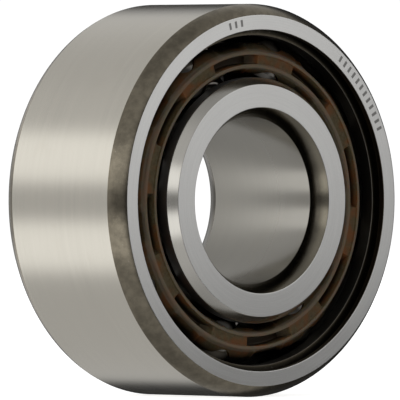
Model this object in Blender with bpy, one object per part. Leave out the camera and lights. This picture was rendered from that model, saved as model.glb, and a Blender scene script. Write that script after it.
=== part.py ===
"""Double-row angular contact ball bearing, open type: two rings, two rows of balls and two snap cages.

The bearing's axis is Y and its centre is the origin. The front face looks along -Y. Lengths in the
constants and in the profiles are millimetres, and a profile is a list of (radius, y) pairs.
"""

import math

import bmesh
import bpy
from mathutils import Matrix, Vector

MM = 0.001

# Boundary dimensions
BORE_RADIUS = 10.0
OUTER_RADIUS = 23.5
HALF_WIDTH = 10.3

# Ball rows, back to back: the contact lines lean outwards as they near the axis
BALLS_PER_ROW = 8
BALL_PITCH = 2 * math.pi / BALLS_PER_ROW
BALL_RADIUS = 7.938 / 2
PITCH_RADIUS = 16.85
ROW_Y = 4.27
CONTACT_ANGLE = math.radians(30)
FIRST_BALL_ANGLE = math.radians(13.1)
ROW_STAGGER = math.radians(22.5)

# Raceways, a little wider than the balls
GROOVE_RADIUS = 0.52 * 2 * BALL_RADIUS
RACE_CLEARANCE = 0.09

# Outer ring: distances behind the face are depths
OUTER_CHAMFER_LENGTH = 2.02
OUTER_CHAMFER_DROP = 1.34
FACE_INNER_RADIUS = 20.4
LIP_DEPTH = 0.75
SEAL_GROOVE_RADIUS = 21.0
SEAL_GROOVE_SLOPE = 0.15
SHOULDER_DEPTH = 1.35
SHOULDER_RADIUS = 19.75
MIDDLE_LAND_RADIUS = 18.75

# Inner ring
BORE_CHAMFER_LENGTH = 2.09
BORE_CHAMFER_DROP = 1.13
FACE_OUTER_RADIUS = 13.86
CONE_LENGTH = 1.1
INNER_SHOULDER_RADIUS = 14.7
INNER_MIDDLE_RADIUS = 13.9

# Snap cages
CAGE_INNER_RADIUS = 15.85
CAGE_OUTER_RADIUS = 17.85
CAGE_FACE_DEPTH = 1.55
PRONG_REACH = 1.8
POCKET_RADIUS = 4.15
RIM_THICKNESS = 0.42
RECESS_SPAN = math.radians(25)
RECESS_END_DEPTH = 0.62
RECESS_FLOOR_SPAN = math.radians(18)
RECESS_DEPTH = 1.6
SLOT_SPAN = math.radians(7.5)
SLOT_ROOT = 1.3

# Tumbled corners stand this far proud of a straight chamfer
CORNER_BULGE = 0.12

# Fineness of the meshes
RING_STEPS = 48
RACE_STEPS = 8
CORNER_STEPS = 3
POCKET_SEGMENTS = 20
POCKET_RINGS = 12
BALL_SUBDIVISIONS = 3
SLOT_STEPS = 2
SHARP_ANGLE = math.radians(28)

# How far a cutter reaches past the surface it opens
OVERCUT = 1.0

FRONT, REAR = -1, 1


def clear_scene():
    """Removes whatever the file held."""
    for obj in list(bpy.data.objects):
        bpy.data.objects.remove(obj, do_unlink=True)


def finish(name, colour, roughness, metallic):
    """A plain Principled material."""
    material = bpy.data.materials.new(name)
    material.use_nodes = True
    shader = material.node_tree.nodes["Principled BSDF"]
    shader.inputs["Base Color"].default_value = (*colour, 1)
    shader.inputs["Roughness"].default_value = roughness
    shader.inputs["Metallic"].default_value = metallic
    return material


def radial(angle):
    """The unit vector at this angle from +Z, turning towards +X."""
    return Vector((math.sin(angle), 0, math.cos(angle)))


def swept(bm, stations, closed):
    """Joins the same closed profile at successive angles about Y into bm.

    Each station is an angle and its (radius, y) points. Unless the sweep is closed, both ends are flat.
    """
    sections = []
    for angle, profile in stations:
        out = radial(angle)
        sections.append([bm.verts.new((out * r + Vector((0, y, 0))) * MM) for r, y in profile])
    count = len(sections[0])
    for step in range(len(sections) if closed else len(sections) - 1):
        here, there = sections[step], sections[(step + 1) % len(sections)]
        for i in range(count):
            j = (i + 1) % count
            bm.faces.new((here[i], here[j], there[j], there[i]))
    if not closed:
        bm.faces.new(sections[0])
        bm.faces.new(sections[-1])


def turned(bm, profile, start=0.0, span=2 * math.pi, steps=RING_STEPS):
    """Turns a closed profile about Y into bm, as a whole ring or as a sector."""
    whole = math.isclose(span, 2 * math.pi)
    count = steps if whole else steps + 1
    swept(bm, [(start + span * step / steps, profile) for step in range(count)], whole)


def mesh_of(bm, name):
    """Turns a bmesh into a mesh with its faces pointing outwards."""
    bmesh.ops.recalc_face_normals(bm, faces=bm.faces)
    mesh = bpy.data.meshes.new(name)
    bm.to_mesh(mesh)
    bm.free()
    return smoothed(mesh)


def smoothed(mesh):
    """Shades a mesh smooth except where its profile turns a corner."""
    mesh.shade_smooth()
    mesh.set_sharp_from_angle(angle=SHARP_ANGLE)
    return mesh


def placed(name, mesh, material, location=(0, 0, 0), rotation=(0, 0, 0)):
    """Puts one named piece in the scene. Pieces of one shape share their mesh and its material."""
    if not mesh.materials:
        mesh.materials.append(material)
    obj = bpy.data.objects.new(name, mesh)
    obj.location = location
    obj.rotation_euler = rotation
    bpy.context.scene.collection.objects.link(obj)
    return obj


def both_ends(half):
    """A half profile, listed from the outside of the front end inwards, closed by its mirror image in y."""
    return half + [(r, -y) for r, y in reversed(half)]


def bulged(start, end):
    """Points on a line between two profile points, pushed outwards in the middle as a tumbled corner is."""
    (r0, y0), (r1, y1) = start, end
    length = math.hypot(r1 - r0, y1 - y0)
    normal = ((y0 - y1) / length, (r1 - r0) / length)
    points = []
    for step in range(CORNER_STEPS + 1):
        t = step / CORNER_STEPS
        rise = CORNER_BULGE * 4 * t * (1 - t)
        points.append((r0 + t * (r1 - r0) + rise * normal[0], y0 + t * (y1 - y0) + rise * normal[1]))
    return points


def groove(side, outboard_radius, inboard_radius):
    """The front row's raceway arc on the outer (side 1) or inner (side -1) ring, from one land to the other.

    The groove's centre sits back from the ball's along the contact line, so the ball touches there first.
    """
    setback = GROOVE_RADIUS - BALL_RADIUS - RACE_CLEARANCE
    centre_r = PITCH_RADIUS - side * setback * math.cos(CONTACT_ANGLE)
    centre_y = -ROW_Y - side * setback * math.sin(CONTACT_ANGLE)
    first = -math.acos(side * (outboard_radius - centre_r) / GROOVE_RADIUS)
    last = math.acos(side * (inboard_radius - centre_r) / GROOVE_RADIUS)
    points = []
    for step in range(RACE_STEPS + 1):
        angle = first + (last - first) * step / RACE_STEPS
        r = centre_r + side * GROOVE_RADIUS * math.cos(angle)
        points.append((r, centre_y + GROOVE_RADIUS * math.sin(angle)))
    return points


def outer_ring_profile():
    face_y = -HALF_WIDTH
    corner = bulged(
        (OUTER_RADIUS, face_y + OUTER_CHAMFER_LENGTH), (OUTER_RADIUS - OUTER_CHAMFER_DROP, face_y)
    )
    lip = [(FACE_INNER_RADIUS, face_y), (FACE_INNER_RADIUS, face_y + LIP_DEPTH)]
    seal_groove = [
        (SEAL_GROOVE_RADIUS, face_y + LIP_DEPTH + SEAL_GROOVE_SLOPE),
        (SEAL_GROOVE_RADIUS, face_y + SHOULDER_DEPTH),
        (SHOULDER_RADIUS, face_y + SHOULDER_DEPTH),
    ]
    raceway = groove(1, SHOULDER_RADIUS, MIDDLE_LAND_RADIUS)
    return both_ends(corner + lip + seal_groove + raceway)


def inner_ring_profile():
    face_y = -HALF_WIDTH
    corner = bulged((BORE_RADIUS + BORE_CHAMFER_DROP, face_y), (BORE_RADIUS, face_y + BORE_CHAMFER_LENGTH))
    shoulder = [(FACE_OUTER_RADIUS, face_y), (INNER_SHOULDER_RADIUS, face_y + CONE_LENGTH)]
    raceway = groove(-1, INNER_SHOULDER_RADIUS, INNER_MIDDLE_RADIUS)
    return both_ends(corner[::-1] + shoulder + raceway)


def ring_mesh(name, profile):
    bm = bmesh.new()
    turned(bm, profile)
    return mesh_of(bm, name)


def ball_mesh():
    bm = bmesh.new()
    bmesh.ops.create_icosphere(bm, subdivisions=BALL_SUBDIVISIONS, radius=BALL_RADIUS * MM)
    return mesh_of(bm, "ball")


def box_profile(inner, outer, low, high):
    """A rectangle between two radii and two heights along the axis."""
    return [(inner, low), (outer, low), (outer, high), (inner, high)]


def pocket_place(angle):
    """Where the pocket at this angle sits, with its poles along the bearing's axis."""
    centre = radial(angle) * PITCH_RADIUS + Vector((0, -ROW_Y, 0))
    turn = Matrix.Rotation(angle, 4, "Y") @ Matrix.Rotation(math.pi / 2, 4, "X")
    return Matrix.Translation(centre * MM) @ turn


def recess(bm, middle):
    """A hollow in the cage's outboard face: its floor rises towards the pocket at each end."""
    face_y = -HALF_WIDTH + CAGE_FACE_DEPTH
    inner, outer = CAGE_INNER_RADIUS + RIM_THICKNESS, CAGE_OUTER_RADIUS - RIM_THICKNESS
    deep, shallow = (
        box_profile(inner, outer, face_y - OVERCUT, face_y + depth)
        for depth in (RECESS_DEPTH, RECESS_END_DEPTH)
    )
    floor, end = RECESS_FLOOR_SPAN / 2, RECESS_SPAN / 2
    places = ((-end, shallow), (-floor, deep), (0, deep), (floor, deep), (end, shallow))
    swept(bm, [(middle + offset, profile) for offset, profile in places], False)


def cage_cutters():
    """Ball pockets, the recesses in the outboard face between them and the slots that free the prongs."""
    bm = bmesh.new()
    slot = box_profile(
        CAGE_INNER_RADIUS - OVERCUT,
        CAGE_OUTER_RADIUS + OVERCUT,
        -ROW_Y - SLOT_ROOT,
        -ROW_Y + PRONG_REACH + OVERCUT,
    )
    for index in range(BALLS_PER_ROW):
        angle = index * BALL_PITCH
        bmesh.ops.create_uvsphere(
            bm,
            u_segments=POCKET_SEGMENTS,
            v_segments=POCKET_RINGS,
            radius=POCKET_RADIUS * MM,
            matrix=pocket_place(angle),
        )
        middle = angle + BALL_PITCH / 2
        recess(bm, middle)
        turned(bm, slot, middle - SLOT_SPAN / 2, SLOT_SPAN, SLOT_STEPS)
    return mesh_of(bm, "cage_cutters")


def cage_mesh():
    """A snap cage in the front row's place, with one pocket at the top.

    It is a plain ring cut by ball pockets, recesses and slots.
    """
    bm = bmesh.new()
    face_y = -HALF_WIDTH + CAGE_FACE_DEPTH
    turned(bm, box_profile(CAGE_INNER_RADIUS, CAGE_OUTER_RADIUS, face_y, -ROW_Y + PRONG_REACH))
    blank = bpy.data.objects.new("cage_blank", mesh_of(bm, "cage_blank"))
    cutters = bpy.data.objects.new("cage_cutters", cage_cutters())
    for obj in (blank, cutters):
        bpy.context.scene.collection.objects.link(obj)
        obj.display_type = "WIRE"
        obj.hide_render = True
    cut = blank.modifiers.new("cut", "BOOLEAN")
    cut.operation = "DIFFERENCE"
    cut.solver = "EXACT"
    cut.object = cutters
    bpy.context.view_layer.update()
    evaluated = blank.evaluated_get(bpy.context.evaluated_depsgraph_get())
    mesh = bpy.data.meshes.new_from_object(evaluated)
    mesh.name = "cage"
    for obj in (blank, cutters):
        bpy.data.objects.remove(obj, do_unlink=True)
    return smoothed(mesh)


def build():
    clear_scene()
    outer_steel = finish("outer_ring_steel", (0.52, 0.49, 0.45), 0.32, 1.0)
    inner_steel = finish("inner_ring_steel", (0.56, 0.55, 0.53), 0.28, 1.0)
    ball_steel = finish("ball_steel", (0.75, 0.75, 0.74), 0.08, 1.0)
    cage_polymer = finish("cage_polymer", (0.14, 0.055, 0.02), 0.35, 0.0)

    placed("outer_ring", ring_mesh("outer_ring", outer_ring_profile()), outer_steel)
    placed("inner_ring", ring_mesh("inner_ring", inner_ring_profile()), inner_steel)

    cage = cage_mesh()
    ball = ball_mesh()
    rows = (("front", FRONT, FIRST_BALL_ANGLE), ("rear", REAR, FIRST_BALL_ANGLE + ROW_STAGGER))
    for row, side, first_angle in rows:
        end_for_end = 0 if side == FRONT else math.pi
        placed(f"{row}_cage", cage, cage_polymer, rotation=(end_for_end, first_angle, 0))
        for index in range(BALLS_PER_ROW):
            out = radial(first_angle + index * BALL_PITCH)
            centre = out * PITCH_RADIUS + Vector((0, side * ROW_Y, 0))
            placed(f"{row}_ball_{index + 1}", ball, ball_steel, location=centre * MM)


build()
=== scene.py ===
# %% [markdown]
# # A double-row angular contact ball bearing
# Two hardened steel rings, sixteen balls and two brown polymer cages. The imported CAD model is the
# frame: it says how big every part is, where it stands and what turns. This script gives each part
# its finished surface. Lengths are worked out in millimetres, because that is how bearings are
# drawn, and turned into metres when a mesh is made.

# %% Load the frame
import math

import bpy
import numpy as np
from mathutils import Matrix, Vector


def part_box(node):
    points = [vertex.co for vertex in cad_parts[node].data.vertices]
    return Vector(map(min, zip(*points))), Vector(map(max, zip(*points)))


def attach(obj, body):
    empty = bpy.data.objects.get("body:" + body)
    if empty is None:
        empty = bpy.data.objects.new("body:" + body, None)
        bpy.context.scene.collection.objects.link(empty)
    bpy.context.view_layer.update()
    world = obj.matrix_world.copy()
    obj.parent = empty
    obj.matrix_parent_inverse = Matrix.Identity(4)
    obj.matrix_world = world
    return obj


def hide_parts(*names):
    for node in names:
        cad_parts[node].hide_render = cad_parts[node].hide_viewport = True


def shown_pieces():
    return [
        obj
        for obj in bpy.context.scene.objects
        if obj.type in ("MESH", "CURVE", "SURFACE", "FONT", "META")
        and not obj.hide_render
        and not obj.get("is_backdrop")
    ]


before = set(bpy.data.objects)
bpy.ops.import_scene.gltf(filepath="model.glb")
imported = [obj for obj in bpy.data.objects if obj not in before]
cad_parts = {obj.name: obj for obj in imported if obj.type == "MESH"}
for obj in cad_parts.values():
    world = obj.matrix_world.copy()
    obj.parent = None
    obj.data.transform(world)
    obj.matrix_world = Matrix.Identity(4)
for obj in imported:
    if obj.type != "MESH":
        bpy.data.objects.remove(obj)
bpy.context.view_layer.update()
MM = 0.001
TURN = 2 * math.pi

# %% [markdown]
# ## What the frame measures
# The rings' outside sizes come straight from the CAD nodes' boxes, and the balls' places are the
# middles of their boxes. So nothing here can drift away from the model.

# %% Read the main sizes
_, outer_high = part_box("outer_ring")
outer_radius = outer_high.x / MM
half_width = outer_high.y / MM
cage_low, cage_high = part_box("front_cage")
cage_face = cage_low.y / MM
cage_tip = cage_high.y / MM


def ball_centre(node):
    """The middle of a ball's box, in millimetres."""
    low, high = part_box(node)
    return np.array((low + high) / 2) / MM


ball_nodes = [name for name in sorted(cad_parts) if "_ball_" in name]
centres = {name: ball_centre(name) for name in ball_nodes}
ball_low, ball_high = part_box(ball_nodes[0])
ball_radius = (ball_high.y - ball_low.y) / 2 / MM
first = centres["front_ball_1"]
pitch_radius = float(np.hypot(first[0], first[2]))
row_y = float(-first[1])
print(f"outer radius {outer_radius:.2f}, half width {half_width:.2f}, ball radius {ball_radius:.3f}")
print(f"pitch radius {pitch_radius:.2f}, rows at y = -/+{row_y:.2f}, {len(ball_nodes)} balls")

# %% [markdown]
# ## From a grid of points to a mesh
# Every piece is a surface: a grid of points with two parameters. One helper numbers the grid's
# cells, another makes the mesh. Where a direction closes on itself, like the way round a ring, the
# last row joins the first, so no seam is left open. Modelling tools could make the same rings, but
# a grid keeps the whole shape in a few lines of arithmetic that can be read and checked.

# %% The grid helper


def grid_faces(rows, columns, wrap_rows, wrap_columns):
    """Four corner numbers for each cell, counted row by row: (i, j), (i+1, j), (i+1, j+1), (i, j+1)."""
    i = np.arange(rows if wrap_rows else rows - 1)
    j = np.arange(columns if wrap_columns else columns - 1)
    i, j = np.meshgrid(i, j, indexing="ij")
    up, along = (i + 1) % rows, (j + 1) % columns
    cells = [i * columns + j, up * columns + j, up * columns + along, i * columns + along]
    return np.stack(cells, axis=-1).reshape(-1, 4)


def make_piece(name, points, faces, finishes, finish_of_face=None, sharp=30):
    """A mesh object at the origin from points in millimetres and a list of faces."""
    mesh = bpy.data.meshes.new(name)
    mesh.from_pydata((points.reshape(-1, 3) * MM).tolist(), [], faces)
    for finish in finishes:
        mesh.materials.append(finish)
    if finish_of_face is not None:
        mesh.polygons.foreach_set("material_index", np.asarray(finish_of_face, np.int32))
    mesh.shade_smooth()
    mesh.set_sharp_from_angle(angle=math.radians(sharp))
    mesh.validate()
    piece = bpy.data.objects.new(name, mesh)
    bpy.context.scene.collection.objects.link(piece)
    return piece


def settle(piece, body, node):
    """The piece rides on a CAD body, and the CAD node that it stands for is hidden."""
    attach(piece, body)
    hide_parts(node)


# %% [markdown]
# ## Turned profiles with soft corners
# A ring is turned: one outline carried round the axis. Real corners are never perfectly sharp, and
# the thin bright line that a small radius catches is what makes steel look solid. Each corner here
# has its own radius. The outline also says which finish each stretch has: ground, turned, polished.

# %% Round the corners of an outline


def rounded_outline(corners, steps=5, support=0.06):
    """Replaces each corner of a closed outline by an arc that touches both of its sides.

    A corner is (radius from the axis, y, corner radius, finish of the side that follows). The arc's
    centre lies on the corner's bisector, at corner radius / sin(half the angle). A support point
    just past each end of the arc keeps the flat sides flat when they are shaded smooth.
    """
    points, finishes = [], []
    count = len(corners)
    for k, (r, y, soft, finish) in enumerate(corners):
        before, here = np.array(corners[k - 1][:2]), np.array((r, y))
        after = np.array(corners[(k + 1) % count][:2])
        last_finish = corners[k - 1][3]
        if soft == 0:
            points.append(here[None])
            finishes.append([finish])
            continue
        back, ahead = before - here, after - here
        room = 0.5 * min(np.linalg.norm(back), np.linalg.norm(ahead))
        back, ahead = back / np.linalg.norm(back), ahead / np.linalg.norm(ahead)
        half = 0.5 * math.acos(np.clip(back @ ahead, -1, 1))
        soft = min(soft, 0.9 * room * math.tan(half))
        middle = (back + ahead) / np.linalg.norm(back + ahead)
        side = back - (back @ middle) * middle
        side = side / np.linalg.norm(side)
        sweep = np.linspace(math.pi / 2 - half, half - math.pi / 2, steps + 1)[:, None]
        round_it = side * np.sin(sweep) - middle * np.cos(sweep)
        arc = here + middle * soft / math.sin(half) + soft * round_it
        reach = min(soft / math.tan(half) + support, room)
        points.append(np.vstack([here + back * reach, arc, here + ahead * reach]))
        finishes.append([last_finish] * (1 + steps // 2) + [finish] * (steps + 2 - steps // 2))
    return np.vstack(points), sum(finishes, [])


def turned_ring(name, corners, finishes, segments=288):
    """The outline (r, y) carried round Y: (r sin a, y, r cos a) for each angle a.

    The sign of the outline's area, the sum of r y' - r' y over its sides, tells which way round it
    was drawn. The faces are turned about when that would leave them looking inwards.
    """
    outline, finish_names = rounded_outline(corners)
    a = np.linspace(0, TURN, segments, endpoint=False)[:, None]
    r, y = outline[:, 0], outline[:, 1]
    grid = np.stack([r * np.sin(a), np.broadcast_to(y, (segments, len(y))), r * np.cos(a)], axis=-1)
    faces = grid_faces(segments, len(outline), True, True)
    if np.sum(r * np.roll(y, -1) - np.roll(r, -1) * y) < 0:
        faces = faces[:, ::-1]
    keys = list(finishes)
    finish_of_face = np.tile([keys.index(f) for f in finish_names], segments)
    piece = make_piece(name, grid, faces.tolist(), list(finishes.values()), finish_of_face)
    print(f"{name}: {len(outline)} outline points, {2 * len(faces)} triangles")
    return piece


def mirrored_ends(front):
    """A front half outline and its mirror image in y, which closes the ring at the rear.

    Going back along the mirror image, the side that follows a point is the one that came before it.
    The last side of all, which joins the two ends, is the ring's ground cylinder.
    """
    before = ["outside"] + [finish for *_, finish in front[:-1]]
    rear = [(r, -y, soft, finish) for (r, y, soft, _), finish in zip(front, before)]
    return front + rear[::-1]


# %% [markdown]
# ## Finishes
# Bearing steel is one metal with four faces here: ground cylinders with hair-fine lines round them,
# ground side faces with lines that circle the axis, raceways and balls lapped smooth under a film
# of oil, and corners left dark from turning and hardening. All patterns are worked out from Object
# coordinates, so they stay on the steel when the ring turns, and there is no seam to hide.

# %% Small helpers for building node trees
NOISE_SHIFT = (53.1, 41.3, 67.7)


class Finish:
    """A material and its node tree, with short ways to add nodes."""

    def __init__(self, name):
        self.material = bpy.data.materials.new(name)
        self.material.use_nodes = True
        self.tree = self.material.node_tree
        self.shader = self.tree.nodes["Principled BSDF"]

    def add(self, kind, inputs=None, **settings):
        """A node of this kind; an input is a value or another node's output."""
        made = self.tree.nodes.new(kind)
        for key, value in settings.items():
            setattr(made, key, value)
        for key, value in (inputs or {}).items():
            self.join(value, made.inputs[key])
        return made

    def join(self, value, socket):
        """Links an output to a socket, or writes a plain value on it."""
        if isinstance(value, bpy.types.NodeSocket):
            self.tree.links.new(value, socket)
        else:
            socket.default_value = value

    def sum(self, operation, a, b=0.0, c=0.0):
        """One Math node's output."""
        return self.add("ShaderNodeMath", {0: a, 1: b, 2: c}, operation=operation).outputs[0]

    def range(self, value, low, high, to_low=0.0, to_high=1.0, smooth=True):
        """Maps a value from one range to another, clamped, with soft ends."""
        kind = "SMOOTHSTEP" if smooth else "LINEAR"
        given = {"Value": value, "From Min": low, "From Max": high, "To Min": to_low, "To Max": to_high}
        return self.add("ShaderNodeMapRange", given, interpolation_type=kind).outputs["Result"]

    def blend(self, factor, a, b):
        """A colour between a and b. A Mix node keeps its colour sockets at 6 and 7, and output 2."""
        return self.add("ShaderNodeMix", data_type="RGBA", inputs={0: factor, 6: a, 7: b}).outputs[2]

    def noise(self, vector, scale=1.0, detail=2.0, roughness=0.5):
        """A cloudy value from 0 to 1."""
        given = {"Vector": vector, "Scale": scale, "Detail": detail, "Roughness": roughness}
        return self.add("ShaderNodeTexNoise", given).outputs["Fac"]

    def lines(self, cx, cz, across, stretch, detail=2.0, roughness=0.5):
        """Fine lines that run round the axis: noise(stretch x/r, across, stretch z/r)."""
        round_x, round_z = self.sum("MULTIPLY", cx, stretch), self.sum("MULTIPLY", cz, stretch)
        return self.noise(self.vector(round_x, across, round_z), detail=detail, roughness=roughness)

    def around(self):
        """Object coordinates in millimetres, as a place for noise, r, y, x / r and z / r.

        The place is moved well away from the origin, where the cells of all of a noise's octaves
        have a common edge.
        """
        where = self.add("ShaderNodeTexCoord").outputs["Object"]
        scale = {0: where, "Scale": 1 / MM}
        mm = self.add("ShaderNodeVectorMath", scale, operation="SCALE").outputs[0]
        x, y, z = self.add("ShaderNodeSeparateXYZ", {0: mm}).outputs
        squares = self.sum("ADD", self.sum("MULTIPLY", x, x), self.sum("MULTIPLY", z, z))
        radius = self.sum("SQRT", squares)
        safe = self.sum("MAXIMUM", radius, 0.01)
        move = {0: mm, 1: NOISE_SHIFT}
        place = self.add("ShaderNodeVectorMath", move, operation="ADD").outputs[0]
        return place, radius, y, self.sum("DIVIDE", x, safe), self.sum("DIVIDE", z, safe)

    def vector(self, x, y, z):
        """Three values as one vector."""
        return self.add("ShaderNodeCombineXYZ", {0: x, 1: y, 2: z}).outputs[0]

    def bump(self, height, depth_mm, strength=1.0):
        """Tilts the shading by a height pattern this many millimetres deep."""
        given = {"Height": height, "Distance": depth_mm * MM, "Strength": strength}
        made = self.add("ShaderNodeBump", given)
        self.tree.links.new(made.outputs["Normal"], self.shader.inputs["Normal"])

    def set(self, **values):
        """Sets the shader's sockets; spaces in their names are written as underscores."""
        for key, value in values.items():
            self.join(value, self.shader.inputs[key.replace("_", " ")])


def scaled(tint, factor):
    """A colour times a factor, with an alpha of 1."""
    return tuple(min(1.0, factor * c) for c in tint) + (1,)


# %% [markdown]
# ### Ground cylinders
# The wheel that grinds a bearing's outside leaves lines that run round it. Noise that changes fast
# along y and slowly round the axis draws them. The unit vector (x/r, z/r) has no seam, unlike an
# angle. A slower noise stains the steel a little, as thin oil does.

# %% Ground cylinder finish
OIL = (0.42, 0.36, 0.27, 1)
fine_shift, broad_shift = 310.3, 47.4


def ground_cylinder(name, tint, shine, lines_per_mm=9.0, rear_shine=0.0):
    """Steel with fine lines round the axis: their noise drives shade, gloss and bump.

    rear_shine is the roughness reached at the rear end, when it differs from the front end's.
    """
    f = Finish(name)
    place, _, y, cx, cz = f.around()
    across_fine = f.sum("MULTIPLY_ADD", y, lines_per_mm, fine_shift)
    across_broad = f.sum("MULTIPLY_ADD", y, 1.1, broad_shift)
    fine = f.lines(cx, cz, across_fine, 2.5, detail=3.0, roughness=0.65)
    broad = f.lines(cx, cz, across_broad, 1.2, detail=1.0)
    oil = f.noise(place, scale=0.16, detail=3.0, roughness=0.6)
    mixed = f.sum("ADD", f.sum("MULTIPLY", fine, 0.65), f.sum("MULTIPLY", broad, 0.35))
    shade = f.blend(f.range(mixed, 0.3, 0.7), scaled(tint, 0.975), scaled(tint, 1.02))
    shade = f.blend(f.range(oil, 0.55, 0.75, 0, 0.06), shade, OIL)
    gloss = f.range(mixed, 0.3, 0.7, shine * 0.96, shine * 1.05)
    if rear_shine:
        along = f.range(y, -half_width, half_width, 0, rear_shine - shine, False)
        gloss = f.sum("ADD", gloss, along)
    f.set(Base_Color=shade, Metallic=1.0, Roughness=gloss)
    f.bump(fine, 0.0003)
    return f.material


# %% [markdown]
# ### Ground side faces
# Side faces are ground flat on a turning table, so their lines circle the axis and change with the
# radius. They are a little rougher than the cylinders and shine in a wider, softer way.

# %% Ground face finish


def ground_face(name, tint, shine, marks=False):
    """Steel with lines that change fast with the radius; marks adds etched ticks at the front."""
    f = Finish(name)
    place, radius, y, cx, cz = f.around()
    turned = f.lines(cx, cz, f.sum("MULTIPLY", radius, 7.0), 2.0, detail=3.0, roughness=0.7)
    grain = f.noise(place, scale=5.0, detail=3.0, roughness=0.7)
    cloud = f.noise(place, scale=0.22, detail=2.0)
    mixed = f.sum("ADD", f.sum("MULTIPLY", turned, 0.6), f.sum("MULTIPLY", grain, 0.4))
    shade = f.blend(f.range(mixed, 0.3, 0.7), scaled(tint, 0.91), scaled(tint, 1.05))
    shade = f.blend(f.range(cloud, 0.4, 0.8, 0, 0.12), shade, scaled(tint, 0.8))
    rough = f.range(mixed, 0.3, 0.7, shine * 0.88, shine * 1.14)
    if marks:
        tick = f.sum("MULTIPLY", etched_ticks(f, radius, cx, cz), f.sum("LESS_THAN", y, 0.0))
        shade = f.blend(f.sum("MULTIPLY", tick, 0.7), shade, (0.10, 0.095, 0.09, 1))
        rough = f.sum("ADD", rough, f.sum("MULTIPLY", tick, 0.2))
    f.set(Base_Color=shade, Metallic=1.0, Roughness=rough)
    f.bump(mixed, 0.0008)
    return f.material


def etched_ticks(f, radius, cx, cz):
    """Two short rows of plain etched ticks: 1 inside a tick, 0 outside.

    The angle from the top, in degrees, is cut into equal steps; a tick fills part of its step. The
    rows are bounded by their first and last angle and by two radii.
    """
    step_degrees = 2.6
    short_row, long_row = (-15.6, -7.8), (36.4, 67.6)
    angle = f.sum("MULTIPLY", f.sum("ARCTAN2", cx, cz), 180 / math.pi)
    step = f.sum("FRACT", f.sum("DIVIDE", angle, step_degrees))
    inside_step = f.sum("MULTIPLY", f.range(step, 0.28, 0.36), f.range(step, 0.72, 0.64))
    band = f.sum("MULTIPLY", f.range(radius, 20.95, 21.0), f.range(radius, 21.82, 21.77))

    def row(low, high):
        return f.sum("MULTIPLY", f.sum("GREATER_THAN", angle, low), f.sum("LESS_THAN", angle, high))

    rows = f.sum("ADD", row(*short_row), row(*long_row))
    return f.sum("MULTIPLY", f.sum("MULTIPLY", inside_step, band), rows)


# %% [markdown]
# ### Dark corners
# The corner between a cylinder and a face is turned, hardened and never ground, so the scale of the
# furnace stays on it: brown-grey, blotchy, with turning lines and small bright nicks.

# %% Turned and hardened finish


def dark_corner(name, tint, shine, wear_and_shadow_radii=None):
    """Brown-black scale: a broad noise blotches it, and a fine one, cut high, leaves bright nicks.

    wear_and_shadow_radii gives two radii in millimetres, across which the colour brightens towards 2.6
    times the tint. On the bore's corner the scale thins out there and the steel shows more; on the
    shoulder's step the dark outer side is a painted shadow under the lip.
    """
    f = Finish(name)
    place, radius, y, cx, cz = f.around()
    blotch = f.noise(place, scale=0.9, detail=4.0, roughness=0.65)
    speck = f.noise(place, scale=4.5, detail=3.0, roughness=0.7)
    turning = f.lines(cx, cz, f.sum("MULTIPLY", f.sum("ADD", radius, y), 6.0), 2.0)
    base = f.blend(f.range(blotch, 0.3, 0.7), scaled(tint, 0.82), scaled(tint, 1.2))
    # on the shoulder's step the dark side of this blend is a painted shadow
    if wear_and_shadow_radii:
        base = f.blend(f.range(radius, *wear_and_shadow_radii), base, scaled(tint, 2.6))
    nick = f.range(speck, 0.66, 0.74)
    shade = f.blend(f.sum("MULTIPLY", nick, 0.5), base, (0.50, 0.47, 0.42, 1))
    rough = f.range(speck, 0.25, 0.7, shine * 1.25, shine * 0.8)
    f.set(Base_Color=shade, Metallic=1.0, Roughness=rough)
    f.bump(f.sum("ADD", f.sum("MULTIPLY", turning, 0.6), f.sum("MULTIPLY", speck, 0.6)), 0.004)
    return f.material


# %% [markdown]
# ### Polished steel
# Raceways and balls are lapped smooth and then oiled, and mirror their neighbours softly. Raceways
# are set a little darker than the ground steel. The balls are set much darker, which is painted
# shade: between the rings they lie in shade. A faint cloud in the gloss keeps them from looking like
# chrome.

# %% Polished finish


def polished(name, tint, shine):
    """Lapped steel with a slight cloud in its colour and gloss."""
    f = Finish(name)
    place, _, y, cx, cz = f.around()
    cloud = f.noise(place, scale=0.35, detail=3.0, roughness=0.6)
    scratch = f.lines(cx, cz, f.sum("MULTIPLY", y, 14.0), 3.0)
    shade = f.blend(f.range(cloud, 0.3, 0.7), scaled(tint, 0.93), scaled(tint, 1.0))
    mixed = f.sum("ADD", f.sum("MULTIPLY", cloud, 0.5), f.sum("MULTIPLY", scratch, 0.5))
    rough = f.range(mixed, 0.3, 0.7, shine * 0.7, shine * 1.4)
    f.set(Base_Color=shade, Metallic=1.0, Roughness=rough)
    f.bump(scratch, 0.0003)
    return f.material


# %% [markdown]
# ### One finish for each surface
# The four recipes make fourteen finishes. A colour is the steel's reflectance for red, green and
# blue, and the next number is the roughness: 0 would be a mirror, 1 chalk. Most surfaces inside the
# bearing are given darker colours; the dark of the balls, of the bore and of the outer part of the
# shoulder's step is painted shade.

# %% Make the steel finishes
WARM = (0.62, 0.590, 0.520)
NEUTRAL = (0.62, 0.615, 0.600)
outside_steel = ground_cylinder("outer_ring_ground_outside", WARM, 0.20)
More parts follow.
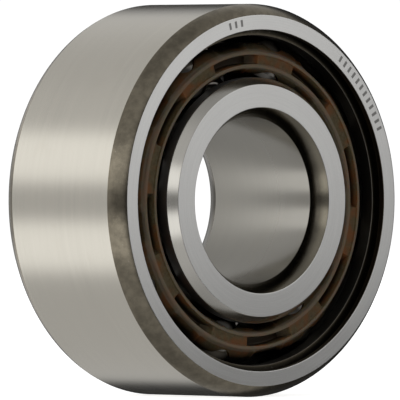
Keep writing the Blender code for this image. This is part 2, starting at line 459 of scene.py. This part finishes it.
# painted shade: the bore's steel is set darker than the outside's for the dimmer light inside the bore
bore_steel = ground_cylinder("inner_ring_ground_bore", (0.36, 0.346, 0.312), 0.11, rear_shine=0.56)
outer_face_steel = ground_face("outer_ring_ground_face", NEUTRAL, 0.34, marks=True)
inner_face_steel = ground_face("inner_ring_ground_face", (0.58, 0.575, 0.56), 0.34)
outer_corner = dark_corner("hardened_outer_corner", (0.21, 0.185, 0.14), 0.17)
bore_corner = dark_corner("hardened_bore_corner", (0.085, 0.077, 0.060), 0.17, wear_and_shadow_radii=(10.35, 10.9))
groove_scale = dark_corner("hardened_seal_groove", (0.10, 0.075, 0.045), 0.42)
cone_steel = ground_cylinder("inner_ring_honed_cone", (0.62, 0.60, 0.55), 0.17, 6.0)
inner_land_steel = ground_cylinder("inner_ring_honed_land", (0.46, 0.46, 0.46), 0.40, 6.0)
shoulder_steel = ground_cylinder("hardened_shoulder", (0.20, 0.19, 0.17), 0.40, 6.0)
lip_steel = ground_cylinder("hardened_lip", (0.13, 0.112, 0.085), 0.30, 6.0)
# painted shadow: the step's outer part, under the seal groove, is nearly black and brightens inwards
step_scale_and_shadow = dark_corner("hardened_shoulder_step_and_shadow", (0.030, 0.026, 0.019), 0.36, wear_and_shadow_radii=(20.12, 19.88))
raceway_steel = polished("raceway_polish", (0.46, 0.45, 0.42), 0.32)
# painted shade: the balls' steel gets a dark tint for the shade they lie in between the rings
ball_steel = polished("ball_polish", (0.17, 0.16, 0.145), 0.12)
print("ball finish:", ball_steel.name, "with", len(ball_steel.node_tree.nodes), "nodes")

# %% [markdown]
# ## The raceways
# Each ball runs in a groove a little wider than itself. The grooves are arcs whose centres are set
# back from the ball's centre along the contact line, which leans at 30 degrees. In this back to
# back bearing the lines lean outwards as they near the axis.

# %% Raceway arcs
contact = math.radians(30)
conformity = 0.52
groove_radius = conformity * 2 * ball_radius
clearance = 0.09
edge_radius = 0.08


def raceway(side, from_radius, to_radius, steps=26):
    """The front groove on the outer ring (side 1) or inner ring (side -1), between its two lands."""
    setback = groove_radius - ball_radius - clearance
    centre_r = pitch_radius - side * setback * math.cos(contact)
    centre_y = -row_y - side * setback * math.sin(contact)
    first_angle = -math.acos(side * (from_radius - centre_r) / groove_radius)
    last_angle = math.acos(side * (to_radius - centre_r) / groove_radius)
    a = np.linspace(first_angle, last_angle, steps)
    r, y = centre_r + side * groove_radius * np.cos(a), centre_y + groove_radius * np.sin(a)
    soft = [edge_radius] + [0] * (steps - 2) + [edge_radius]
    finishes = ["race"] * (steps - 1) + ["land"]
    return list(zip(r.tolist(), y.tolist(), soft, finishes))


def tumbled(start, end, bulge, steps=9):
    """The points between start and end (r, y) of a chamfer pushed out by bulge in the middle.

    It is a flat parabola: a share t of the way along, it stands 4 t (1 - t) bulge off the line.
    """
    start, end = np.array(start), np.array(end)
    t = np.linspace(0, 1, steps)[1:-1, None]
    along = end - start
    normal = np.array([along[1], -along[0]]) / np.linalg.norm(along)
    return start + t * along + bulge * 4 * t * (1 - t) * normal


# %% [markdown]
# ## The outer ring
# From the outside in: the ground cylinder, the dark corner, the ground face, a lip with an empty
# seal groove behind it, the shoulder, the raceway and the land between the rows. The corner is a
# chamfer that tumbling has rounded a little. Each line gives a radius from the axis, a place along
# it, how far the corner there is rounded, and the finish of the side that follows.

# %% Outer ring
face = -half_width
chamfer_length, chamfer_width, chamfer_bulge = 2.02, 1.34, 0.19
lip_radius, seal_groove_radius, shoulder_radius, land_radius = 20.4, 21.0, 19.75, 18.75
lip_depth, seal_groove_depth, shoulder_depth = 0.75, 0.90, 1.35
chamfer_start = (outer_radius, face + chamfer_length)
chamfer_end = (outer_radius - chamfer_width, face)
bulged = tumbled(chamfer_end, chamfer_start, chamfer_bulge)[::-1]
outer_front = (
    [(*chamfer_start, 0.22, "corner")]
    + [(r, y, 0, "corner") for r, y in bulged.tolist()]
    + [
        (*chamfer_end, 0.16, "face"),
        (lip_radius, face, 0.07, "lip"),
        (lip_radius, face + lip_depth, 0.05, "groove"),
        (seal_groove_radius, face + seal_groove_depth, 0.07, "groove"),
        (seal_groove_radius, face + shoulder_depth, 0.07, "shoulder"),
        (shoulder_radius, face + shoulder_depth, 0.07, "land"),
    ]
    + raceway(1, shoulder_radius, land_radius)
)
outer_finishes = {
    "outside": outside_steel, "corner": outer_corner, "face": outer_face_steel,
    "lip": lip_steel, "groove": groove_scale, "shoulder": step_scale_and_shadow, "land": shoulder_steel,
    "race": raceway_steel,
}
outer_ring = turned_ring("outer_ring_body", mirrored_ends(outer_front), outer_finishes)
settle(outer_ring, "outer_ring", "outer_ring")

# %% [markdown]
# ## The inner ring
# Its bore is ground for the shaft, and its corner at the bore is even darker than the outer ring's. A
# short cone leads from the face up to the shoulder, so that balls and cage slip over it when the
# bearing is put together.

# %% Inner ring
bore_radius = 10.0
bore_chamfer_length, bore_chamfer_width, bore_chamfer_bulge = 2.09, 1.13, 0.12
cone_radius, inner_shoulder_radius, inner_land_radius = 13.86, 14.7, 13.9
cone_length = 1.1
bore_end = (bore_radius, face + bore_chamfer_length)
bore_start = (bore_radius + bore_chamfer_width, face)
bore_bulged = tumbled(bore_end, bore_start, bore_chamfer_bulge)
inner_front = (
    [(*bore_end, 0.22, "corner")]
    + [(r, y, 0, "corner") for r, y in bore_bulged.tolist()]
    + [
        (*bore_start, 0.14, "face"),
        (cone_radius, face, 0.09, "cone"),
        (inner_shoulder_radius, face + cone_length, 0.25, "land"),
    ]
    + raceway(-1, inner_shoulder_radius, inner_land_radius)
)
inner_finishes = {
    "outside": bore_steel, "corner": bore_corner, "face": inner_face_steel,
    "cone": cone_steel, "land": inner_land_steel, "race": raceway_steel,
}
inner_ring = turned_ring("inner_ring_body", mirrored_ends(inner_front), inner_finishes)
settle(inner_ring, "inner_ring", "inner_ring")

# %% [markdown]
# ## The balls
# A ball is a grid of latitude and longitude with a single point at each end, so both poles are
# closed. Sixty-four steps round are enough for a smooth reflection.

# %% Balls


def ball(name, centre, radius, rings=32, segments=64):
    """centre + radius (sin p cos a, cos p, sin p sin a): p goes from pole to pole, a goes round."""
    p = np.linspace(0, math.pi, rings + 1)[1:-1, None]
    a = np.linspace(0, TURN, segments, endpoint=False)
    grid = np.stack([np.sin(p) * np.cos(a), np.broadcast_to(np.cos(p), (rings - 1, segments)),
                     np.sin(p) * np.sin(a)], axis=-1).reshape(-1, 3)
    poles = np.array([[0, 1, 0], [0, -1, 0]])
    points = centre + radius * np.vstack([grid, poles])
    top, bottom = len(grid), len(grid) + 1
    here = np.arange(segments)
    there = (here + 1) % segments
    last = (rings - 2) * segments
    quads = grid_faces(rings - 1, segments, False, True)[:, ::-1].tolist()
    caps = np.stack([np.full(segments, top), there, here], axis=-1).tolist()
    caps += np.stack([np.full(segments, bottom), last + here, last + there], axis=-1).tolist()
    return make_piece(name, points, quads + caps, [ball_steel], sharp=60)


for node, centre in centres.items():
    settle(ball(f"{node}_sphere", centre, ball_radius), node, node)
print(f"{len(centres)} balls of radius {ball_radius:.3f} mm")

# %% [markdown]
# ## The cages
# A moulded cage keeps the eight balls of a row apart. It is a crown: a closed ring at the outside,
# and prongs that reach between the balls and close a little over them, so that the balls snap in.
# Between the balls its face is hollowed out and only two thin rims are left, which saves plastic
# and lets the part cool evenly in the mould. Seen flat, the crown's edge is one line that repeats
# eight times: down round a pocket, over a prong, into a slot. The whole cage is that line and the
# face's outline, joined by an inner and an outer wall.

# %% The crown's edge in one eighth of a turn
row_of_balls = 8
pocket_radius = 4.15
cage_inner, cage_outer = 15.85, 17.85
slot_half = math.radians(3.75)
slot_root = -row_y - 1.3
eighth = TURN / row_of_balls
widest = math.pi / 2


def pocket_angle(u, r):
    """The angle from the ball at radius r where the distance across is u: 2 asin(u / (2 sqrt(r p)))."""
    return 2 * np.arcsin(u / (2 * np.sqrt(r * pitch_radius)))


def at_waist(y):
    """The height two thirds of the way from the face to y."""
    return cage_face + 0.667 * (y - cage_face)


def crown_edge(r):
    """Half a repeat at radius r, from the pocket's floor to the slot's middle.

    Returns the angles on the face, then (angle, y) at a waist and (angle, y) on the edge itself. A
    sphere cuts a cylinder of radius r where u = q sin t and y = row - q cos t, with
    q^2 = pocket^2 - (r - p)^2. Past its widest place the pocket closes over the ball. There the
    waist lies on the tangent, so that no wall line crosses the pocket. Close to 45 degrees the
    steps in t are short, because the end of the hollow in the face lies there.
    """
    q = math.sqrt(pocket_radius**2 - (r - pitch_radius) ** 2)
    tip_t = math.acos((-row_y - cage_tip) / q)
    short_steps = [43.4, 44.2, 44.9, 45.7, 46.5, 47.3, 48.2]
    low_t = np.radians(np.concatenate([np.linspace(0, 42, 12), short_steps, np.linspace(51, 83, 10)]))
    over_t = np.linspace(math.radians(86), tip_t, 9)
    t = np.concatenate([low_t, over_t])
    arc_angle, arc_y = pocket_angle(q * np.sin(t), r), -row_y - q * np.cos(t)
    over = np.clip((t - widest) / (tip_t - widest), 0, 1)
    waist_over = at_waist(-row_y) + over * (-row_y - at_waist(-row_y))
    waist_y = np.where(t < widest, at_waist(arc_y), waist_over)
    lean = np.where(t < widest, 0, -1 / np.tan(np.maximum(t, 1e-3)))
    waist_u = q * np.sin(t) + lean * (arc_y - waist_y)
    waist_angle = pocket_angle(waist_u, r)
    late = t >= math.radians(80)
    face_angle = np.where(late, 0, arc_angle)
    face_angle[late] = np.linspace(float(arc_angle[~late][-1]) + 0.006, waist_angle[-1], late.sum())

    # The prong's flat tip, the slot's side and the slot's floor. The small angles are in radians:
    # they round the corners and let the face's columns stand a little apart from the edge's.
    steps = 5
    share = np.linspace(0, 1, steps + 1)[1:]
    slot_side = eighth / 2 - slot_half
    soft = 0.012
    tip_from, tip_to = arc_angle[-1], slot_side - soft
    flat_angle = tip_from + share * (tip_to - tip_from)
    flat_y = np.full(steps, cage_tip)
    flat_face = face_angle[-1] + share * (slot_side - 0.022 - face_angle[-1])
    side_y = np.linspace(cage_tip - 0.2, slot_root + 0.25, steps)
    side_face = slot_side - 0.016 + np.linspace(0, 1, steps) * 0.024
    root_rest = np.linspace(slot_side + 0.03, eighth / 2, steps - 1)
    root_angle = np.concatenate([[slot_side + soft], root_rest])
    root_y = np.full(steps, slot_root)
    root_face = np.maximum(root_angle, side_face[-1] + 0.006)
    angle = np.concatenate([arc_angle, flat_angle, np.full(steps, slot_side), root_angle])
    y = np.concatenate([arc_y, flat_y, side_y, root_y])
    face = np.concatenate([face_angle, flat_face, side_face, root_face])
    flat_mid, side_mid = (flat_angle + 2 * flat_face) / 3, (slot_side * 2 + side_face) / 3
    mid_angle = np.concatenate([waist_angle, flat_mid, side_mid, (root_angle * 2 + root_face) / 3])
    mid_y = np.concatenate([waist_y, np.full(steps, -row_y), at_waist(side_y), at_waist(root_y)])
    return face, np.stack([mid_angle, mid_y]), np.stack([angle, y])


def whole_turn(half, sign):
    """Mirrors half a repeat about its pocket and repeats it eight times.

    The sign is -1 for angles, which change it in the mirror, and 1 for heights and radii.
    """
    return np.tile(np.concatenate([sign * half[::-1][1:-1], half]), row_of_balls)


print("half a repeat of the crown's edge has", crown_edge(cage_inner)[0].size, "points")

# %% [markdown]
# ### The hollow face
# Across the face a column goes down from the outer rim, along the floor of the hollow and up to the
# inner rim. Along the face the floor follows the pockets, so that the wall over a ball keeps one
# thickness. Both ways the edges are ramps with short ends, which look like moulded roundings.

# %% The face between the rims
rim = 0.42
recess_depth = 1.6
recess_half = math.radians(12.5)
recess_wall = 0.70
block_dip = 0.12
ramp = np.array([0, 0.02, 0.10, 0.5, 0.90, 0.98, 1.0])
ramp_mm = np.array([0, 0.05, 0.09, 0.11, 0.13, 0.17, 0.24])
ramp_degrees = np.array([-0.3, -0.15, 0.0, 0.2, 0.4, 0.55, 0.8])
ramp_start = 0.05
rounding_from_wall = np.array([0.02, 0.08, 0.16])
rounding_drop = np.array([0.08, 0.02, 0])
floor_rows = 3


def across_face():
    """Radius, share of the recess's depth and drop of the rounded rim, from the outer wall in."""
    wall_out = cage_outer - rim + ramp_start
    wall_in = cage_inner + rim - ramp_start
    outer_r, inner_r = cage_outer - rounding_from_wall, cage_inner + rounding_from_wall[::-1]
    floor_r = np.linspace(wall_out - ramp_mm[-1], wall_in + ramp_mm[-1], floor_rows + 2)[1:-1]
    r = np.concatenate([outer_r, wall_out - ramp_mm, floor_r, wall_in + ramp_mm[::-1], inner_r])
    flat, floor = np.zeros(len(rounding_drop)), np.ones(floor_rows)
    share = np.concatenate([flat, ramp, floor, ramp[::-1], flat])
    level = np.zeros(2 * len(ramp) + floor_rows)
    drop = np.concatenate([rounding_drop, level, rounding_drop[::-1]])
    return r, share, drop


def angle_to_ball(angle):
    """The angle to the nearest ball, never negative."""
    return np.abs((angle + eighth / 2) % eighth - eighth / 2)


def recess_floor(angle):
    """How deep the face lies between the rims, from the angle to the nearest ball.

    Over a ball it is a slight dip. Between balls it follows the pocket at one wall's thickness,
    depth = row - face - sqrt((pocket + wall)^2 - u^2), down to the full depth, with a short ramp
    at the recess's end.
    """
    near = angle_to_ball(angle)
    u = 2 * pitch_radius * np.sin(near / 2)
    around_ball = np.sqrt(np.maximum((pocket_radius + recess_wall) ** 2 - u**2, 0))
    deep = np.clip(-row_y - around_ball - cage_face, block_dip, recess_depth)
    edge = eighth / 2 - recess_half
    share = np.interp(near, edge + np.radians(ramp_degrees), ramp)
    return block_dip + share * (deep - block_dip)


# %% [markdown]
# ### The cups
# From the side a real cage is not a plain tube. Below the face both walls swell, the outer one out
# and the inner one in, and they swell most where they reach round a ball. The face itself keeps its
# narrow rims.

# %% The cups that hold the balls
cup_inner, cup_outer = 15.2, 18.95
cup_full, cup_end = math.radians(11.5), math.radians(19)
cup_depth = 1.35
between_balls = 0.45


def smooth_step(x):
    """0 below 0, 1 above 1, and 3 x^2 - 2 x^3 between."""
    x = np.clip(x, 0, 1)
    return x * x * (3 - 2 * x)


def cup_share(angle):
    """How far the wall swells towards the cup's radius: all the way over a ball, less between."""
    near = angle_to_ball(angle)
    return between_balls + (1 - between_balls) * smooth_step((cup_end - near) / (cup_end - cup_full))


def swell(rim, full, y):
    """A wall's radius: rim + (full - rim) * smooth(depth below the face / cup depth)."""
    return rim + (full - rim) * smooth_step((y - cage_face) / cup_depth)


# %% [markdown]
# ### The closed cage
# Everything above now becomes one closed grid. A column starts at the inner rim, runs up the inner
# wall to the crown's edge, crosses it, comes down the outer wall and returns over the face. Where
# the edge crosses, it follows the same sphere as the pocket, so that no ball is touched.

# %% Put a cage together
first_height = 0.10
tip_round = 0.10
edge_round = 0.12
rows_to_waist, rows_to_edge = 9, 4
rounds = 8


def cage(name, side, first_angle):
    """A closed grid: inner wall, edge, outer wall and face for each column of the crown's edge.

    A wall's rows run from the face to the waist and on to the edge in straight steps, and swell on
    the way. The rear cage is the front one seen in a mirror, so its y changes sign and the corners
    of its faces are counted the other way round.
    """
    half_count = crown_edge(cage_inner)[0].size
    repeat = np.repeat(np.arange(row_of_balls) * eighth, 2 * half_count - 2)
    share = cup_share(crown_edge((cage_inner + cage_outer) / 2)[2][0])

    def lines_at(radii):
        """The crown's waist and edge, each column of them at its own radius."""
        per_column = [crown_edge(r) for r in radii]
        waist = np.array([e[1][:, k] for k, e in enumerate(per_column)]).T
        edge = np.array([e[2][:, k] for k, e in enumerate(per_column)]).T
        return waist, edge

    def swollen(rim, cup):
        """The radius at which each column's wall meets the edge, found in a few rounds."""
        full = rim + (cup - rim) * share
        at = full
        for _ in range(rounds):
            at = swell(rim, full, lines_at(at)[1][1])
        return full, at

    def around(half_angle):
        """Angles for all eight repeats, counted from the first ball."""
        return whole_turn(half_angle, -1) + repeat

    def wall(rim, full, at):
        """Radius, angle and y of a wall's rows, from the face to the edge."""
        waist, edge = lines_at(at)
        face_a, waist_a, edge_a = around(crown_edge(rim)[0]), around(waist[0]), around(edge[0])
        waist_y, edge_y = whole_turn(waist[1], 1), whole_turn(edge[1], 1)
        edge_y = edge_y - tip_round * (edge_y > cage_tip - 0.05)
        low = np.linspace(0, 1, rows_to_waist)[:, None]
        high = np.linspace(0, 1, rows_to_edge)[1:, None]
        start = cage_face + first_height
        a = np.vstack([face_a + low * (waist_a - face_a), waist_a + high * (edge_a - waist_a)])
        y = np.vstack([start + low * (waist_y - start), waist_y + high * (edge_y - waist_y)])
        return swell(rim, whole_turn(full, 1), y), a, y

    full_in, at_in = swollen(cage_inner, cup_inner)
    full_out, at_out = swollen(cage_outer, cup_outer)
    inner, outer = wall(cage_inner, full_in, at_in), wall(cage_outer, full_out, at_out)
    soft = edge_round / (at_out - at_in)
    over = []
    for part_way in (soft, 0.25, 0.5, 0.75, 1 - soft):
        r_over = at_in + part_way * (at_out - at_in)
        edge = lines_at(r_over)[1]
        over.append((whole_turn(r_over, 1)[None], around(edge[0])[None], whole_turn(edge[1], 1)[None]))
    face_r, depth_share, drop = across_face()
    across = ((face_r - cage_inner) / (cage_outer - cage_inner))[:, None]
    face_a = inner[1][0] + (outer[1][0] - inner[1][0]) * across
    face_y = cage_face + drop[:, None] + depth_share[:, None] * recess_floor(face_a)
    face_r = np.broadcast_to(face_r[:, None], face_a.shape)
    parts = [inner, *over, tuple(v[::-1] for v in outer), (face_r, face_a, face_y)]
    r, a, y = (np.vstack([p[k] for p in parts]) for k in range(3))
    a = a + first_angle
    grid = np.stack([r * np.sin(a), side * y, r * np.cos(a)], axis=-1)
    faces = grid_faces(*grid.shape[:2], True, True)
    if side < 0:
        faces = faces[:, ::-1]
    return make_piece(name, grid, faces.tolist(), [cage_plastic], sharp=38)


# %% [markdown]
# ### Cage plastic
# The cages are moulded from glass-filled polyamide. It is warm brown, a little waxy, and thin walls
# let some light through. Painted orange clouds stand for light glowing out through the walls. The
# face is painted darker with the depth below it, which is painted shade, and the rims of the face
# are painted paler, which is a painted highlight. Short fibres near the surface mottle it.

# %% Cage finish


def moulded_polymer(name):
    """Brown plastic: fine noise for the fibres, broad noise for a painted orange glow, some light
    carried inside.

    It darkens with the depth below the face, which is painted shade, and the rims of the face are
    painted paler, which is a painted highlight.
    """
    f = Finish(name)
    place, radius, y, *_ = f.around()
    fibre = f.noise(place, scale=3.2, detail=4.0, roughness=0.7)
    painted_glow_cloud = f.noise(place, scale=0.5, detail=2.0)
    shade = f.blend(f.range(fibre, 0.3, 0.7), (0.100, 0.079, 0.040, 1), (0.168, 0.134, 0.074, 1))
    # painted glow: orange clouds where light would come out through the thin plastic
    shade = f.blend(f.range(painted_glow_cloud, 0.40, 0.68, 0, 0.9), shade, (0.24, 0.088, 0.028, 1))
    depth = f.range(f.sum("SUBTRACT", -cage_face, f.sum("ABSOLUTE", y)), 0.3, 1.3)
    # painted shade: darker with the depth below the face, down in the recesses and along the walls
    shade = f.blend(f.sum("MULTIPLY", depth, 0.9), shade, (0.018, 0.012, 0.006, 1))
    off_middle = f.sum("ABSOLUTE", f.sum("SUBTRACT", radius, (cage_inner + cage_outer) / 2))
    # painted highlight: the rims of the face are blended paler
    painted_rim_highlight = f.sum("MULTIPLY", f.range(off_middle, 0.55, 0.68), f.range(depth, 0.1, 0.0))
    shade = f.blend(f.sum("MULTIPLY", painted_rim_highlight, 0.55), shade, (0.30, 0.26, 0.20, 1))
    f.set(Base_Color=shade, Roughness=f.range(fibre, 0.3, 0.7, 0.30, 0.44), Specular_IOR_Level=0.42,
          Specular_Tint=(1.0, 0.80, 0.56, 1), Subsurface_Weight=0.35,
          Subsurface_Radius=(1.0, 0.42, 0.12), Subsurface_Scale=0.0012)
    f.bump(fibre, 0.006)
    return f.material


cage_plastic = moulded_polymer("cage_polyamide")
for row, side in (("front", 1), ("rear", -1)):
    x, _, z = centres[f"{row}_ball_1"]
    made = cage(f"{row}_cage_crown", side, math.atan2(x, z))
    settle(made, f"{row}_cage", f"{row}_cage")
    print(f"{made.name}: {2 * len(made.data.polygons)} triangles")

# %% [markdown]
# ## Floor, light and camera
# Steel shows what is round it, so its look is made by the light. The room is a pale tent with two
# long soft panels, one a little above the horizon and one a little below, and a darker gap between
# them. Ground cylinders then show two broad bright bands, as in a product studio. Parts of the room
# in front and to the right are kept dark, because steel with nothing dark to mirror looks flat. A
# world made of nodes can say all this with a few directions, where lamps would need a whole set.

# %% The tent of light
world = bpy.data.worlds.new("studio_tent")
bpy.context.scene.world = world
world.use_nodes = True
tree = world.node_tree
tree.nodes.clear()


def world_math(operation, a, b=0.0):
    """One Math node of the world's tree."""
    node = tree.nodes.new("ShaderNodeMath")
    node.operation = operation
    for value, socket in ((a, node.inputs[0]), (b, node.inputs[1])):
        if isinstance(value, bpy.types.NodeSocket):
            tree.links.new(value, socket)
        else:
            socket.default_value = value
    return node.outputs[0]


def world_ramp(value, low, high):
    """0 below low, 1 above high, soft between."""
    node = tree.nodes.new("ShaderNodeMapRange")
    node.interpolation_type = "SMOOTHSTEP"
    tree.links.new(value, node.inputs["Value"])
    node.inputs["From Min"].default_value = low
    node.inputs["From Max"].default_value = high
    return node.outputs["Result"]


def world_band(value, low, high, soft):
    """1 between low and high with soft edges, 0 outside."""
    above_low = world_ramp(value, low - soft, low + soft)
    return world_math("SUBTRACT", above_low, world_ramp(value, high - soft, high + soft))


def towards(x, y):
    """How far the direction agrees with a level one: the dot product (x, y, 0) . direction."""
    return world_math("ADD", world_math("MULTIPLY", dx, x), world_math("MULTIPLY", dy, y))


def dimmed(value, mask, left):
    """Multiplies by 1 where the mask is 0 and by left where it is 1."""
    taken = world_math("MULTIPLY", mask, 1.0 - left)
    return world_math("MULTIPLY", value, world_math("SUBTRACT", 1.0, taken))


# %% [markdown]
# ### Panels, gap and dark parts
# A ray's direction is a unit vector, so its height above the horizon is the arcsine of dz, here in
# degrees. The two panels and the gap between them are bands of height. The dark parts are the
# directions that agree well enough with one that is level or nearly so.

# %% Which way a ray looks
direction = tree.nodes.new("ShaderNodeTexCoord").outputs["Generated"]
parts = tree.nodes.new("ShaderNodeSeparateXYZ")
tree.links.new(direction, parts.inputs[0])
dx, dy, dz = parts.outputs
height = world_math("DEGREES", world_math("ARCSINE", dz))
steep = world_math("ABSOLUTE", height)
upper = world_band(height, 7.0, 26.0, 4.0)
lower = world_band(height, -27.5, -8.5, 4.0)
bands = world_math("MULTIPLY", world_math("ADD", upper, lower), world_ramp(dx, 0.75, -0.2))
pale = 0.53
level = dimmed(pale, world_ramp(steep, 45.0, 80.0), 0.65)
skirt = world_math("MULTIPLY", world_band(height, 24.0, 41.0, 5.0), world_ramp(dy, 0.0, 0.5))
level = world_math("ADD", level, world_math("MULTIPLY", skirt, 0.08))
front = towards(0, -1)
gap = world_math("MULTIPLY", world_ramp(front, -0.3, 0.35), world_ramp(steep, 12.0, 4.0))
level = dimmed(level, gap, 0.42)
level = world_math("ADD", level, world_math("MULTIPLY", bands, 0.62))
level = dimmed(level, world_ramp(front, 0.60, 0.85), 0.17)
far_right = towards(0.69, 0.724)
level = dimmed(level, world_ramp(far_right, 0.87, 0.935), 0.5)
corner_of_room = world_math("ADD", towards(0.96, 0.28), world_math("MULTIPLY", dz, -0.15))
level = dimmed(level, world_ramp(corner_of_room, 0.70, 0.80), 0.10)

# %% [markdown]
# ### What the camera sees behind the bearing
# The steel mirrors the tent, but the camera looks at a plain white backdrop: a ray that comes
# straight from the camera gets the backdrop, and every other ray gets the tent.

# %% Tent for the steel, backdrop for the camera
tint = tree.nodes.new("ShaderNodeCombineXYZ")
for socket in tint.inputs:
    tree.links.new(level, socket)
room = tree.nodes.new("ShaderNodeBackground")
tree.links.new(tint.outputs[0], room.inputs["Color"])
backdrop = tree.nodes.new("ShaderNodeBackground")
backdrop.inputs["Color"].default_value = (1, 1, 1, 1)
backdrop.inputs["Strength"].default_value = 1.05
seen = tree.nodes.new("ShaderNodeLightPath").outputs["Is Camera Ray"]
either = tree.nodes.new("ShaderNodeMixShader")
tree.links.new(seen, either.inputs[0])
tree.links.new(room.outputs[0], either.inputs[1])
tree.links.new(backdrop.outputs[0], either.inputs[2])
output = tree.nodes.new("ShaderNodeOutputWorld")
tree.links.new(either.outputs[0], output.inputs["Surface"])
bpy.context.scene.view_settings.view_transform = "Standard"

# %% [markdown]
# ### The floor
# The bearing stands on white paper. The steel doesn't mirror it and gets no light from it, because
# the tent already says how bright the room is below the horizon.

# %% The floor
floor_z = -outer_radius
floor_reach = 900
floor_points = 9
span = np.linspace(-floor_reach, floor_reach, floor_points)
fx, fy = np.meshgrid(span, span, indexing="ij")
floor_grid = np.stack([fx, fy, np.full_like(fx, floor_z)], axis=-1)
floor_faces = grid_faces(floor_points, floor_points, False, False)
floor_mesh = bpy.data.meshes.new("studio_floor")
floor_mesh.from_pydata((floor_grid.reshape(-1, 3) * MM).tolist(), [], floor_faces.tolist())
floor = bpy.data.objects.new("studio_floor", floor_mesh)
bpy.context.scene.collection.objects.link(floor)
paper = Finish("white_paper")
place, *_ = paper.around()
fleck = paper.noise(place, scale=0.03, detail=2.0)
paper.set(Base_Color=paper.blend(fleck, (0.90, 0.90, 0.90, 1), (0.94, 0.94, 0.94, 1)), Roughness=0.9,
          Emission_Color=(1, 1, 1, 1), Emission_Strength=0.75, Specular_IOR_Level=0.1)
floor_mesh.materials.append(paper.material)
floor.visible_glossy = False
floor.visible_diffuse = False
floor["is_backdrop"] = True

# %% [markdown]
# ### A soft box
# A soft box in front and to the right of the bearing lights the flat faces. It stands close, so the
# top of a face is brighter than the bottom, which shows the viewer that the face is flat steel.
# The balls and the cages lie deep between the rings, so they are shielded from it.

# %% A soft box for the flat faces


def facing(stand, looks_along):
    """A matrix that puts a lamp or a camera at stand, looking that way with its top upwards."""
    return Matrix.Translation(stand) @ looks_along.to_track_quat("-Z", "Y").to_matrix().to_4x4()


def soft_box(name, place, aim, width, tall, watts, shaded=()):
    """A rectangular lamp at place, turned towards aim, all in millimetres.

    Light linking keeps its light from the shaded pieces: they are linked to a collection of the
    lamp's receivers, and their entries there say EXCLUDE.
    """
    lamp = bpy.data.lights.new(name, "AREA")
    lamp.shape = "RECTANGLE"
    lamp.size, lamp.size_y = width * MM, tall * MM
    lamp.energy = watts
    holder = bpy.data.objects.new(name, lamp)
    bpy.context.scene.collection.objects.link(holder)
    place, aim = Vector(place) * MM, Vector(aim) * MM
    holder.matrix_world = facing(place, aim - place)
    holder.visible_camera = False
    flag = bpy.data.collections.new(name + "_flag")
    for piece in shaded:
        flag.objects.link(piece)
    for entry in flag.collection_objects:
        entry.light_linking.link_state = "EXCLUDE"
    if shaded:
        holder.light_linking.receiver_collection = flag


inside = [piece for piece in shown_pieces() if "ball" in piece.name or "cage" in piece.name]
soft_box("front_soft_box", (52, -97, 38), (22, -10, 38), 104, 100, 0.024, shaded=inside)

# %% [markdown]
# ### The camera
# It stands well back with a long lens, as for a catalogue, so that the two ends of the bearing look
# almost the same size. It aims to the left of the front face's middle, because the ring's outside
# shows there, and looks very slightly down.

# %% The camera
centre_of_face = np.array([0.0, -half_width, 0.0])
turn, tilt = math.radians(43.64), math.radians(0.45)
forward = np.array([math.sin(turn) * math.cos(tilt), math.cos(turn) * math.cos(tilt), -math.sin(tilt)])
right = np.array([math.cos(turn), -math.sin(turn), 0.0])
distance = 1269.7
aim_left, aim_up = 7.447, 0.06
aim = centre_of_face - aim_left * right + np.array([0, 0, aim_up])
lens = bpy.data.cameras.new("studio_camera")
lens.lens, lens.sensor_width = 957.2, 36.0
lens.clip_start, lens.clip_end = 0.1, 4.0
camera = bpy.data.objects.new("studio_camera", lens)
bpy.context.scene.collection.objects.link(camera)
stand = Vector(aim - distance * forward) * MM
camera.matrix_world = facing(stand, Vector(forward))
bpy.context.scene.camera = camera
print("camera stands at, mm:", [round(v / MM, 1) for v in stand])
